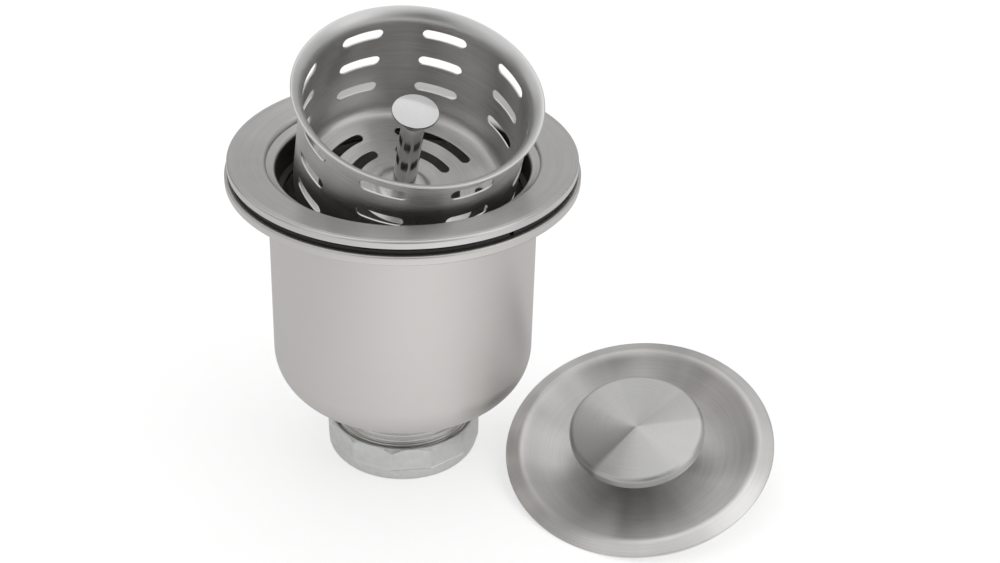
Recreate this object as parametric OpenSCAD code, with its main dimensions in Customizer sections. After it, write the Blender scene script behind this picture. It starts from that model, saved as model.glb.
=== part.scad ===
// Kitchen sink strainer: a flange for the sink's hole, a deep cup with a threaded outlet,
// a slip nut, a lift-out basket with a post, and a dished lid with a knob.
// Millimetres, +Z up. The origin is on the cup's axis, in the plane the slip nut stands on.

/* [Sink flange] */
// Radius of the flange that lies on the sink
flange_r = 57.15; // [56:0.05:59]
// Height of the flange's turned-down edge
flange_edge_h = 2.5; // [2:0.1:4]
// Thickness of the flange's sheet
flange_t = 0.9; // [0.7:0.1:1.2]
// Width of its flat face, from the edge in to the mouth's bend
face_w = 10.85; // [10.5:0.05:11.2]
// How far the face falls from its edge to the bend
face_drop = 0.9; // [0.5:0.1:1.2]
// Width of the bend, down to the crease where the lid's ledge starts
bend_w = 1.8; // [1.5:0.1:2.2]
// Depth of that crease below the face's edge
crease_drop = 2.8; // [2.4:0.1:3.2]
// Width of the ledge, from the crease in to the neck
ledge_w = 2.9; // [2.6:0.1:3.2]
// Length of the neck, from the face's edge down
neck_len = 15; // [13:0.5:18]
// Width of the lip at the neck's foot, where the basket's rim sits in use
neck_lip_w = 2.2; // [1.6:0.1:2.6]

/* [Seals under the flange] */
// Thickness of the grey seal left showing below the flange's edge
seal_show_h = 0.8; // [0.5:0.1:1.5]
// Radial room between the seal and the flange's edge
seal_clear = 0.3; // [0.3:0.05:0.5]
// Thickness of the black rubber gasket
gasket_t = 1.3; // [1:0.1:3]
// How far the gasket's rim stands back from the flange's edge
gasket_inset = 0.75; // [0.5:0.05:1.5]
// Thickness of the fibre friction ring
friction_t = 0.6; // [0.4:0.1:1]
// Width of the notch in the gasket's rim
notch_w = 1.3; // [1:0.1:3]

/* [Cup] */
// Thickness of the cup's sheet
cup_t = 0.8; // [0.6:0.05:0.85]
// Height of the cup, from its flat bottom to its flange's top
cup_h = 87; // [75:0.5:110]
// How far the rolled edge of the cup's flange stands out past the sink flange
cup_flange_over = 0.9; // [0.5:0.05:2]
// Height of that rolled edge
cup_edge_h = 3.2; // [2.8:0.1:4]
// Radius of the bend at the foot of the wall
cup_bend_r = 15; // [14:0.5:18]
// Angle that the bend turns before the sloping bottom starts
cup_bend_angle = 60; // [50:1:65]
// Width of the flat ring round the outlet
outlet_flat_w = 1.8; // [1:0.1:2.5]

/* [Screw joint of flange and cup] */
// Thickness of the neck inside its thread
neck_t = 0.72; // [0.6:0.02:0.9]
// Depth of both threads
neck_thread_d = 0.4; // [0.3:0.05:0.5]
// Advance of that thread in one turn
neck_pitch = 2; // [1.5:0.1:2.5]
// Height of the threaded ring in the cup's mouth
thread_ring_h = 11; // [9:0.5:13]
// Thickness of that ring, over its thread's crests
thread_ring_t = 0.8; // [0.7:0.05:1.2]

/* [Outlet and slip nut] */
// Crest radius of the outlet's thread
outlet_thread_r = 24; // [23.8:0.05:24.2]
// Depth of the outlet's thread
outlet_thread_d = 0.9; // [0.6:0.05:1]
// Advance of the outlet's thread in one turn, 11.5 to the inch
outlet_pitch = 2.209; // [2:0.001:2.5]
// Thickness of the outlet inside its thread
outlet_t = 2.8; // [2.3:0.1:3]
// Length of the outlet below the cup
outlet_len = 14.6; // [12:0.1:17]
// Length of the smooth collar at its top
collar_h = 3; // [2:0.1:4]
// Radial running room of both screw joints
thread_clear = 0.06; // [0.04:0.01:0.1]
// Radial room round the drain pipe in the outlet
pipe_room = 1.25; // [1:0.05:1.5]
// Radial room round that pipe in the slip nut's lip
pipe_clear = 0.3; // [0.2:0.05:0.4]
// Thickness of the slip nut at its corners, over the thread
nut_wall = 3.2; // [2.9:0.05:4]
// Number of flats on the slip nut
nut_sides = 12; // [8,10,12]
// Height of the slip nut
nut_h = 13.4; // [12:0.1:16]
// How far the round foot of the slip nut stands back from its corners
nut_taper_w = 1.4; // [1:0.05:1.7]
// Height where the taper to that foot begins
nut_taper_h = 4.8; // [3.5:0.1:5.5]
// Thickness of the slip nut's lip
nut_lip_t = 2.5; // [2:0.1:3]
// Height of the washer in the slip nut
washer_h = 3.4; // [3:0.1:4.5]
// Room left between the washer and the outlet's end
nut_back_off = 1.7; // [1.5:0.1:3]

/* [Basket] */
// Radial room round the basket's rim in the neck
basket_rim_clear = 1.35; // [1:0.05:1.6]
// How far the basket's rim stands out from its wall
basket_rim_w = 3.45; // [3.2:0.05:4]
// Depth of the basket below the top of its rim
basket_h = 46; // [44:0.5:48]
// Thickness of the basket's sheet
basket_t = 0.7; // [0.6:0.05:0.8]
// Radius of the bend between wall and floor
basket_bend_r = 5.2; // [4.5:0.1:6]
// Number of slots in a row round the wall
slot_columns = 8; // [4:1:9]
// Length of a wall slot
slot_l = 15.4; // [10:0.2:17]
// Height of a wall slot
slot_h = 3.8; // [2.5:0.1:4.5]
// Depth of the first row of slots below the rim
slot_first = 8.5; // [8:0.1:10]
// Distance from one row to the next
slot_step = 12.1; // [10:0.1:12.6]
// Number of rows
slot_rows = 3; // [2,3]
// Turn of the slot pattern about the basket's axis
slot_turn = 11.2; // [0:0.2:44]
// Distance from the basket's wall in to the middle of the outer floor slots
floor_ring_inset = 10.6; // [9:0.05:12]
// Distance from those to the inner floor slots
floor_ring_step = 8.8; // [7:0.1:10]
// Width of a floor slot
floor_slot_w = 3.6; // [2:0.1:4]
// Angle that each floor slot spans
floor_slot_span = 56; // [30:1:66]
// Turn of the floor's slots about the basket's axis
floor_turn = 18.5; // [0:0.5:44]
// Radius of the raised boss in the middle of the floor
floor_boss_r = 9; // [7.5:0.1:11]
// Height of that boss
floor_boss_h = 1.1; // [0.8:0.1:1.6]

/* [Post of the basket] */
// Radius of the post
post_r = 3.9; // [3:0.1:4.5]
// Depth of the knob's face below the top of the basket's rim
knob_drop = 8.1; // [7:0.1:12]
// Radius of the post's knob
post_knob_r = 7.6; // [6.5:0.1:9]
// Thickness of the post's knob at its edge
post_knob_t = 1.5; // [1:0.1:2.5]
// Height of the collar under the knob
post_collar_h = 1; // [0.6:0.1:2]
// Radius of the screw's shank in the post
post_screw_r = 2; // [1.5:0.1:2.5]

/* [Lid] */
// Room between the lid's edge and the start of the flange's bend
lid_clear = 0.45; // [0.3:0.05:1.2]
// Thickness of the lid's sheet
lid_t = 0.8; // [0.6:0.05:1]
// Width of the lid's sloping edge, in to the crest of its dish
lid_edge_w = 5.1; // [4.5:0.1:6.5]
// Height of the crest above the lid's edge
lid_crest_h = 1.4; // [1:0.1:2]
// Depth of the dish below the lid's edge
lid_dish = 7.2; // [6:0.1:8]
// Radius of the flat in the middle of the dish
lid_flat_r = 15; // [12:0.5:17]
// Radius of the lid's knob
lid_knob_r = 22.9; // [19:0.1:24]
// Height of the knob's face above the lid's edge
lid_knob_top = 9.6; // [8:0.1:12]
// Height of the knob's rounded side
lid_knob_side = 4.2; // [3:0.1:5]
// Thickness of the knob's sheet
lid_knob_t = 1; // [0.8:0.1:1.4]
// Radius of the stud that holds the knob
stud_r = 2.5; // [2:0.1:3]
// Thickness of the sealing washer under the lid
lid_seal_t = 1.2; // [0.8:0.1:2]
// Thickness of the steel washer under it
lid_washer_t = 0.9; // [0.6:0.1:1.2]
// Height of the nut on the stud
lid_nut_h = 3; // [2.4:0.1:4]

/* [Where the loose pieces lie] */
// Lean of the basket from upright
basket_lean = 20.1; // [15:0.1:24]
// Direction that the basket leans to
basket_lean_dir = -71.2; // [-90:0.1:-50]
// Rightward place of the middle of the basket's floor
basket_x = -0.2; // [-1:0.05:0]
// Place of that middle towards the back
basket_y = 6.7; // [5.5:0.05:6.8]
// Depth of that middle below the flange's edge
basket_sunk = 17.6; // [15.5:0.1:17.7]
// Lean of the lid as it lies on the ground
lid_lean = 17; // [14:0.1:18.5]
// Direction that the lid leans to
lid_lean_dir = -125.9; // [-150:0.1:-100]
// Rightward distance of the middle of the lid from the cup's wall
lid_away = 36.3; // [34:0.1:66]
// Place of that middle towards the back
lid_y = -24.2; // [-40:0.1:-10]

/* [Hidden] */
$fn = 180;
eps = 0.01;
// Facets of a full turn on small rounds, such as a slot's ends
small_fn = 32;

// Heights of the upright stack, from the nut's foot to the flange's face
outlet_end_z = nut_lip_t + washer_h + nut_back_off;
cup_bottom_z = outlet_end_z + outlet_len;
cup_top_z = cup_bottom_z + cup_h;
gasket_z = cup_top_z + friction_t;
seal_z = gasket_z + gasket_t;
edge_z = seal_z + seal_show_h;
face_z = edge_z + flange_edge_h;

// Slight room between two round faces that are joined for good
joined_gap = 0.02;

// Radii from the flange's edge in to its neck, then out through the thread to the cup's wall
face_in_r = flange_r - face_w;
crease_r = face_in_r - bend_w;
neck_in_r = crease_r - ledge_w;
neck_root_r = neck_in_r + neck_t;
neck_thread_r = neck_root_r + neck_thread_d;
ring_in_r = neck_thread_r + thread_clear;
cup_in_r = ring_in_r + thread_ring_t + joined_gap;
cup_r = cup_in_r + cup_t;
gasket_r = flange_r - gasket_inset;
cup_flange_r = flange_r + cup_flange_over;

// Radii of the outlet, the drain pipe that goes up into it, and the nut on it
outlet_in_r = outlet_thread_r - outlet_thread_d - outlet_t;
outlet_flat_r = outlet_thread_r + outlet_flat_w;
pipe_r = outlet_in_r - pipe_room;
nut_corner_r = outlet_thread_r + nut_wall;
nut_foot_r = nut_corner_r - nut_taper_w;

// Radii of the basket, which fits the neck, and of the lid, which fits the mouth
neck_lip_r = neck_in_r - neck_lip_w;
basket_rim_r = neck_in_r - basket_rim_clear;
basket_r = basket_rim_r - basket_rim_w;
floor_ring_out = basket_r - floor_ring_inset;
floor_ring_in = floor_ring_out - floor_ring_step;
lid_r = face_in_r - lid_clear;
lid_crest_r = lid_r - lid_edge_w;
lid_x = cup_r + lid_away;

// Rounding of small edges
edge_round = 0.6;

// Colours
steel = [0.74, 0.73, 0.72];
bright = [0.85, 0.85, 0.86];
cup_steel = [0.76, 0.74, 0.73];
zinc = [0.73, 0.75, 0.73];
black_rubber = [0.1, 0.1, 0.1];
grey_rubber = [0.26, 0.26, 0.26];
fibre = [0.2, 0.17, 0.14];
white_plastic = [0.93, 0.93, 0.9];

// Points of an arc about [x, y], from angle a0 to a1 in n steps
function arc(x, y, r, a0, a1, n = 8) =
    [for (i = [0:n]) let (a = a0 + (a1 - a0) * i / n) [x + r * cos(a), y + r * sin(a)]];

// Points of ring grooves down a wall at radius r, cut d deep (outward where d is negative).
// A groove falls in over 30% of the pitch, has a flat of 20%, rises over 30% and leaves a 20% crest.
function grooves(r, d, z_top, z_low, pitch) =
    let (n = floor((z_top - z_low) / pitch))
    [for (i = [0:n - 1]) let (z = z_top - i * pitch)
        each [[r, z], [r - d, z - 0.3 * pitch], [r - d, z - 0.5 * pitch], [r, z - 0.8 * pitch]]];

// The basket's own frame: the middle of the top of its rim, with its axis up. The basket leans about
// its floor, which rests in the neck.
module in_basket() {
    translate([basket_x, basket_y, face_z - basket_sunk])
        rotate([0, basket_lean, basket_lean_dir])
            translate([0, 0, basket_h])
                children();
}

// The lid's own frame: the middle of its edge, low enough for the edge to touch the ground
module in_lid() {
    translate([lid_x, lid_y, lid_r * sin(lid_lean) + lid_edge_low * cos(lid_lean)])
        rotate([0, lid_lean, lid_lean_dir])
            children();
}

// Flange: turned-down edge, face, bend, ledge for the lid, threaded neck and the lip under the basket
bend_low = crease_drop - face_drop;
ledge_round = 1.2;
ledge_r = neck_in_r + ledge_round;
ledge_drop = crease_drop + 0.8;
ledge_low = ledge_drop + 1.4;
neck_lip_t = 1.1;

module sink_flange() {
    z = face_z;
    top = concat(
        [[flange_r, z - flange_edge_h]],
        arc(flange_r - edge_round, z - edge_round, edge_round, 0, 90),
        [for (i = [0:8]) let (a = 90 * i / 8)
            [face_in_r - bend_w * sin(a), z - face_drop - bend_low * (1 - cos(a))]],
        [[ledge_r, z - ledge_drop]],
        [for (i = [1:6]) let (a = 90 * i / 6)
            [ledge_r - ledge_round * sin(a), z - ledge_drop - (ledge_low - ledge_drop) * (1 - cos(a))]],
        [[neck_in_r, z - neck_len + neck_lip_t], [neck_lip_r, z - neck_len + neck_lip_t]],
        [[neck_lip_r, z - neck_len], [neck_root_r, z - neck_len]]
    );
    threads = grooves(neck_thread_r, neck_thread_d, z - ledge_low - flange_t, z - neck_len, neck_pitch);
    under = [
        [neck_thread_r, z - ledge_low - flange_t + eps],
        [ledge_r + flange_t, z - ledge_drop - flange_t],
        [crease_r + flange_t, z - crease_drop - flange_t],
        [crease_r + flange_t, z - crease_drop],
        [face_in_r + flange_t / 2, z - face_drop - flange_t],
        [flange_r - flange_t, z - flange_t],
        [flange_r - flange_t, z - flange_edge_h]
    ];
    color(steel)
        rotate_extrude()
            polygon(concat(top, [for (i = [len(threads) - 1:-1:0]) threads[i]], under));
}

// Radial room between the flange's throat and the rings that lie round it
throat_clear = 0.6;
gasket_in_r = crease_r + flange_t + throat_clear;

// Grey seal in the hollow under the flange; it rises with the flange but doesn't turn with it
seal_inset = 0.9;

module flange_seal() {
    out_r = flange_r - flange_t - seal_clear;
    in_r = gasket_in_r + seal_inset;
    slope = face_drop / face_w;
    function under_face(r) = face_z - flange_t - seal_clear - slope * (flange_r - r);
    color(grey_rubber)
        rotate_extrude()
            polygon([
                [in_r, seal_z], [out_r, seal_z], [out_r, under_face(out_r)], [in_r, under_face(in_r)]
            ]);
}

// Black gasket on the underside of the sink, with a small notch in its rim
notch_dir = -54.2;
notch_d = 1.2;

module rubber_gasket() {
    color(black_rubber)
        difference() {
            translate([0, 0, gasket_z])
                cylinder(r = gasket_r, h = gasket_t);
            translate([0, 0, gasket_z - 1])
                cylinder(r = gasket_in_r, h = gasket_t + 2);
            rotate(notch_dir)
                translate([gasket_r - notch_d, -notch_w / 2, gasket_z - 1])
                    cube([notch_d * 2, notch_w, gasket_t + 2]);
        }
}

// Fibre ring that lets the cup's flange turn under the gasket
friction_inset = 0.2;
friction_r = gasket_r - friction_inset;

module friction_ring() {
    color(fibre)
        translate([0, 0, cup_top_z])
            difference() {
                cylinder(r = friction_r, h = friction_t);
                translate([0, 0, -1])
                    cylinder(r = gasket_in_r, h = friction_t + 2);
            }
}

// Cup: mouth, straight wall, round bend, sloping bottom with a hole for the outlet. Its flange is
// drawn from the same sheet, but is a solid of its own, so that the room below it stays open.
cup_hole_lip = 1.3;
cup_hole_r = outlet_in_r + cup_hole_lip;
bead_clear = 0.3;
bead_in_r = gasket_r + bead_clear;
mouth_round = 1.5;
shoulder_round = 1.8;
edge_above = 0.4;
mouth_flat = 0.4;
cup_flange_in_r = cup_r + shoulder_round + mouth_flat;

// Slope of the bottom from the end of the bend, and the height of the bend's middle for a given offset
function slope_r(off) = cup_r - cup_bend_r + (cup_bend_r - off) * cos(cup_bend_angle);
slope_top_z = cup_bottom_z + (slope_r(0) - outlet_flat_r) / tan(cup_bend_angle);
bend_mid_z = slope_top_z + cup_bend_r * sin(cup_bend_angle);
function bend_pts(off) = arc(cup_r - cup_bend_r, bend_mid_z, cup_bend_r - off, 0, -cup_bend_angle, 12);
// The slope's inside meets the flat's inside here
flat_in_r = outlet_flat_r - cup_t * tan((90 - cup_bend_angle) / 2);

module cup_shell() {
    z = cup_top_z;
    mouth_r = cup_flange_in_r - joined_gap;
    inside = concat(
        [[cup_hole_r, cup_bottom_z + cup_t], [flat_in_r, cup_bottom_z + cup_t]],
        [for (i = [12:-1:0]) bend_pts(cup_t)[i]],
        arc(cup_in_r + mouth_round, z - mouth_round, mouth_round, 180, 90)
    );
    outside = concat(
        arc(cup_r + shoulder_round, z - cup_t - shoulder_round, shoulder_round, 90, 180),
        bend_pts(0),
        [[outlet_flat_r, cup_bottom_z], [cup_hole_r, cup_bottom_z]]
    );
    color(cup_steel)
        rotate_extrude()
            polygon(concat(inside, [[mouth_r, z], [mouth_r, z - cup_t]], outside));
}

// The cup's flange, with its rolled edge round the gasket
module cup_flange() {
    z = cup_top_z;
    low = z + edge_above - cup_edge_h;
    color(cup_steel)
        rotate_extrude()
            polygon(concat(
                [[cup_flange_in_r, z - cup_t], [cup_flange_in_r, z]],
                [[bead_in_r, z], [bead_in_r, z + edge_above - 0.2], [bead_in_r + 0.2, z + edge_above]],
                arc(cup_flange_r - edge_round, z + edge_above - edge_round, edge_round, 90, 0, 5),
                arc(cup_flange_r - edge_round, low + edge_round, edge_round, 0, -90, 5),
                [[bead_in_r + cup_t, low], [bead_in_r + 0.4, low + 0.3], [bead_in_r + 0.4, z - cup_t]]
            ));
}

// Threaded ring brazed into the cup's mouth, which the flange's neck screws into
module cup_thread_ring() {
    top_z = cup_top_z - mouth_round;
    low_z = top_z - thread_ring_h;
    inner = grooves(ring_in_r, -neck_thread_d, top_z - 0.6, low_z + 0.4, neck_pitch);
    color(bright)
        rotate_extrude()
            polygon(concat(
                [[cup_in_r - joined_gap, low_z], [cup_in_r - joined_gap, top_z], [ring_in_r, top_z]],
                inner,
                [[ring_in_r, low_z]]
            ));
}

// Outlet: a short threaded tube brazed under the cup's bottom
module outlet_tube() {
    thread_top = cup_bottom_z - collar_h;
    outer = grooves(outlet_thread_r, outlet_thread_d, thread_top - 0.1, outlet_end_z + 0.3, outlet_pitch);
    color(bright)
        rotate_extrude()
            polygon(concat(
                [[outlet_in_r, outlet_end_z], [outlet_in_r, cup_bottom_z]],
                [[outlet_thread_r + 0.2, cup_bottom_z], [outlet_thread_r + 0.2, thread_top]],
                outer,
                [[outlet_thread_r, outlet_end_z + 0.5], [outlet_thread_r - 0.5, outlet_end_z]]
            ));
}

// Cross in the outlet that keeps large scraps out of the drain
cross_w = 2.6;
cross_h = 2;

module outlet_crossbar() {
    reach = outlet_in_r + 1;
    color(bright)
        translate([0, 0, cup_bottom_z - cross_h - 1])
            intersection() {
                union()
                    for (a = [45, 135])
                        rotate(a)
                            translate([-reach, -cross_w / 2, 0])
                                cube([2 * reach, cross_w, cross_h]);
                cylinder(r = outlet_in_r - joined_gap, h = cross_h);
            }
}

// Slip nut: flats above, a taper to a round foot, a thread, and a lip that lifts the washer
nut_turn_deg = 21;
nut_bore_r = outlet_thread_r + thread_clear;
nut_root_r = nut_bore_r + outlet_thread_d;
nut_mouth_w = 1.4;
nut_mouth_r = nut_bore_r + nut_mouth_w;
lip_bore_r = pipe_r + pipe_clear;

module slip_nut() {
    mouth_z = nut_h - nut_mouth_w;
    chamber_z = nut_lip_t + washer_h;
    thread = grooves(nut_bore_r, -outlet_thread_d, mouth_z, chamber_z, outlet_pitch);
    color(zinc)
        difference() {
            intersection() {
                rotate(nut_turn_deg)
                    cylinder(r = nut_corner_r, h = nut_h, $fn = nut_sides);
                rotate_extrude()
                    polygon([
                        [0, 0], [nut_foot_r - 0.4, 0], [nut_foot_r, 0.4],
                        [nut_corner_r - 0.15, nut_taper_h], [nut_corner_r, nut_taper_h + 0.2],
                        [nut_corner_r, nut_h - 0.7], [nut_corner_r - 0.8, nut_h], [0, nut_h]
                    ]);
            }
            rotate_extrude()
                polygon(concat(
                    [[0, nut_h + 1], [nut_mouth_r + 1, nut_h + 1], [nut_mouth_r, nut_h]],
                    thread,
                    [[nut_root_r, chamber_z], [nut_root_r, nut_lip_t], [0, nut_lip_t]]
                ));
            translate([0, 0, -1])
                cylinder(r = lip_bore_r, h = nut_lip_t + 2);
        }
}

// Washer squeezed between the outlet's end and the slip nut's lip, round the drain pipe
washer_inset = 0.5;
washer_r = nut_bore_r - washer_inset;
washer_bevel = 1.6;

module slip_washer() {
    color(white_plastic)
        rotate_extrude()
            polygon([
                [pipe_r + 0.1, nut_lip_t], [washer_r, nut_lip_t],
                [washer_r, nut_lip_t + washer_h - washer_bevel],
                [washer_r - washer_bevel, nut_lip_t + washer_h], [pipe_r + 0.1, nut_lip_t + washer_h]
            ]);
}

// Basket: flared rim, straight wall with rows of slots, round bend, slotted floor with a boss
basket_in_r = basket_r - basket_t;
// The flare turns this far from the wall, and its radius then brings its lower edge out to the rim
flare_angle = 75;
flare_in_r = (basket_rim_r - basket_r + basket_t * (1 - cos(flare_angle))) / (1 - cos(flare_angle));
flare_mid_z = -flare_in_r * sin(flare_angle);
floor_z = basket_t - basket_h;
boss_top_z = floor_z + floor_boss_h;
hole_r = post_screw_r + 0.2;

slot_cut = 8;

module wall_slot(depth, angle) {
    rotate(angle)
        translate([basket_r - slot_cut / 2, 0, -depth])
            rotate([0, 90, 0])
                linear_extrude(height = slot_cut)
                    union() {
                        square([slot_h, slot_l - slot_h], center = true);
                        for (s = [-1, 1])
                            translate([0, s * (slot_l - slot_h) / 2])
                                circle(d = slot_h, $fn = small_fn);
                    }
}

// The round ends of a floor slot are a hair narrower than the slot
floor_end_d = floor_slot_w - 0.1;

module floor_slot(r, angle) {
    low = -basket_h - 1;
    tall = basket_t + 2;
    rotate(angle)
        translate([0, 0, low]) {
            rotate_extrude(angle = floor_slot_span)
                translate([r - floor_slot_w / 2, 0])
                    square([floor_slot_w, tall]);
            for (a = [0, floor_slot_span])
                rotate(a)
                    translate([r, 0, 0])
                        cylinder(d = floor_end_d, h = tall, $fn = small_fn);
        }
}

module basket_shell() {
    bend_in = basket_bend_r - basket_t;
    mid_r = basket_r - basket_bend_r;
    mid_z = basket_bend_r - basket_h;
    rim_mid = basket_in_r + flare_in_r;
    inside = concat(
        [[hole_r, boss_top_z], [floor_boss_r - floor_boss_h, boss_top_z], [floor_boss_r, floor_z]],
        arc(mid_r, mid_z, bend_in, -90, 0),
        arc(rim_mid, flare_mid_z, flare_in_r, 180, 180 - flare_angle, 10)
    );
    outside = concat(
        arc(rim_mid, flare_mid_z, flare_in_r - basket_t, 180 - flare_angle, 180, 10),
        arc(mid_r, mid_z, basket_bend_r, 0, -90),
        [[floor_boss_r - basket_t / 2, -basket_h]],
        [[floor_boss_r - floor_boss_h - basket_t / 2, boss_top_z - basket_t]],
        [[hole_r, boss_top_z - basket_t]]
    );
    color(steel)
        in_basket()
            difference() {
                rotate_extrude()
                    polygon(concat(inside, outside));
                for (row = [0:slot_rows - 1])
                    for (i = [0:slot_columns - 1])
                        wall_slot(slot_first + row * slot_step, slot_turn + i * 360 / slot_columns);
                for (r = [floor_ring_in, floor_ring_out])
                    for (i = [0:3])
                        floor_slot(r, floor_turn + i * 90);
            }
}

// Post: a round bar from the boss to the collar, bored at its foot for the screw
post_top_z = -knob_drop - post_knob_t - post_collar_h;
screw_depth = 8;
screw_hole_r = post_screw_r + 0.05;

module basket_post() {
    color(bright)
        in_basket()
            difference() {
                translate([0, 0, boss_top_z])
                    cylinder(r = post_r, h = post_top_z - boss_top_z);
                translate([0, 0, boss_top_z - 1])
                    cylinder(r = screw_hole_r, h = screw_depth + 1.5);
            }
}

// Thin collar between the post and its knob
module post_collar() {
    color(bright)
        in_basket()
            translate([0, 0, post_top_z])
                cylinder(r = post_r + 0.7, h = post_collar_h);
}

// Knob: a flat disc with a slightly domed face
dome_h = 0.5;

module post_knob() {
    edge_top = -knob_drop - dome_h;
    low = -knob_drop - post_knob_t;
    dome_r = (post_knob_r * post_knob_r + dome_h * dome_h) / (2 * dome_h);
    dome_a = asin(post_knob_r / dome_r);
    color(bright)
        in_basket()
            rotate_extrude()
                polygon(concat(
                    [[0, low], [post_knob_r - 0.3, low], [post_knob_r, low + 0.3]],
                    arc(0, edge_top + dome_h - dome_r, dome_r, 90 - dome_a, 90, 6)
                ));
}

// Lock washer under the boss
lock_washer_t = 0.7;
boss_under_z = boss_top_z - basket_t;

module post_lock_washer() {
    color(bright)
        in_basket()
            translate([0, 0, boss_under_z - lock_washer_t])
                difference() {
                    cylinder(r = post_screw_r * 2, h = lock_washer_t);
                    translate([0, 0, -1])
                        cylinder(r = hole_r, h = lock_washer_t + 2);
                    translate([0, -0.4, -1])
                        cube([post_screw_r * 3, 0.8, lock_washer_t + 2]);
                }
}

// Screw from below, through the lock washer and the boss, into the post
screw_head_h = 1.7;
screw_head_r = post_screw_r * 1.9;

module post_screw() {
    head_top = boss_under_z - lock_washer_t;
    color(bright)
        in_basket()
            difference() {
                union() {
                    translate([0, 0, head_top - screw_head_h])
                        cylinder(r = screw_head_r, h = screw_head_h);
                    translate([0, 0, head_top - eps])
                        cylinder(r = post_screw_r, h = boss_top_z + screw_depth - head_top);
                }
                for (a = [0, 90])
                    rotate(a)
                        translate([-screw_head_r * 0.6, -0.4, head_top - screw_head_h - 1])
                            cube([screw_head_r * 1.2, 0.8, 1.9]);
            }
}

// Lid: outward-sloping edge, crest, concave dish, a cone up to a flat middle with a hole for the stud
lid_edge_low = lid_t;
lid_hole_r = stud_r + 0.2;

// The dish starts just inside the crest, and falls steeply before it flattens
dish_start_r = lid_crest_r - 1;
dish_start_z = lid_crest_h - 0.15;
dish_power = 2.6;

// Height of the dish's upper face at radius r
function dish_z(r) =
    let (k = (dish_start_r - r) / (dish_start_r - lid_flat_r))
    dish_start_z - (lid_dish + dish_start_z) * (1 - pow(1 - k, dish_power));

module lid_plate() {
    steps = 14;
    upper = concat(
        [[lid_r, -lid_edge_low], [lid_r, -0.1], [lid_r - 0.3, 0.1]],
        [[lid_crest_r + 0.6, lid_crest_h - 0.05], [lid_crest_r, lid_crest_h]],
        [for (i = [0:steps])
            let (r = dish_start_r - (dish_start_r - lid_flat_r) * i / steps)
            [r, dish_z(r)]],
        [[lid_hole_r, -lid_dish]]
    );
    lower = concat(
        [[lid_hole_r, -lid_dish - lid_t]],
        [for (i = [steps:-1:0])
            let (r = dish_start_r - (dish_start_r - lid_flat_r) * i / steps)
            [r - 0.35 * lid_t * (1 - i / steps), dish_z(r) - lid_t]],
        [[lid_crest_r + 0.3, lid_crest_h - lid_t], [lid_r - 0.9, -lid_edge_low]]
    );
    color(steel)
        in_lid()
            rotate_extrude()
                polygon(concat(upper, lower));
}

// Knob: an upturned shallow cup on a round foot that stands on the dish's flat
knob_round = 1.7;
knob_foot_r = 7;

module lid_knob() {
    z = lid_knob_top;
    r = lid_knob_r;
    low = z - lid_knob_side;
    t = lid_knob_t;
    outer = concat(
        [[0, z], [r - knob_round - 1, z]],
        arc(r - knob_round, z - knob_round, knob_round, 90, 0, 8),
        [[r, low + 0.4], [r - 0.3, low], [r - t, low], [r - t, z - knob_round]],
        arc(r - knob_round - 0.2, z - knob_round - 0.2, knob_round - t + 0.2, 0, 90, 5)
    );
    foot = [
        [knob_foot_r, z - t], [knob_foot_r, -lid_dish], [stud_r + 0.05, -lid_dish],
        [stud_r + 0.05, z - t - 2], [0, z - t - 2]
    ];
    color(steel)
        in_lid()
            rotate_extrude()
                polygon(concat(outer, foot));
}

// Stud from the knob down through the lid, with its tip just below the nut
under_lid_z = -lid_dish - lid_t;
stud_top_z = lid_knob_top - lid_knob_t - 2;
stud_tip_z = -lid_edge_low - (lid_r - stud_r) * tan(lid_lean);

module lid_knob_stud() {
    color(bright)
        in_lid()
            translate([0, 0, stud_tip_z])
                cylinder(r = stud_r, h = stud_top_z - stud_tip_z);
}

module washer_on_stud(top_z, t, r) {
    translate([0, 0, top_z - t])
        difference() {
            cylinder(r = r, h = t);
            translate([0, 0, -1])
                cylinder(r = lid_hole_r, h = t + 2);
        }
}

// Rubber washer that seals the stud's hole
module lid_sealing_washer() {
    color(black_rubber)
        in_lid()
            washer_on_stud(under_lid_z, lid_seal_t, stud_r * 3.6);
}

// Steel washer that spreads the nut's pull
module lid_steel_washer() {
    color(bright)
        in_lid()
            washer_on_stud(under_lid_z - lid_seal_t, lid_washer_t, stud_r * 3.2);
}

// Hexagon nut on the stud
module lid_nut() {
    color(bright)
        in_lid()
            translate([0, 0, under_lid_z - lid_seal_t - lid_washer_t - lid_nut_h])
                difference() {
                    cylinder(r = stud_r * 1.85, h = lid_nut_h, $fn = 6);
                    translate([0, 0, -1])
                        cylinder(r = stud_r + 0.05, h = lid_nut_h + 2);
                }
}

sink_flange();
flange_seal();
rubber_gasket();
friction_ring();
cup_flange();
cup_shell();
cup_thread_ring();
outlet_tube();
outlet_crossbar();
slip_nut();
slip_washer();
basket_shell();
basket_post();
post_knob();
post_collar();
post_lock_washer();
post_screw();
lid_plate();
lid_knob();
lid_knob_stud();
lid_sealing_washer();
lid_steel_washer();
lid_nut();
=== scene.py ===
import math

import bmesh
import bpy
import numpy as np
from mathutils import Matrix, Vector
from mathutils.geometry import delaunay_2d_cdt


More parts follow.
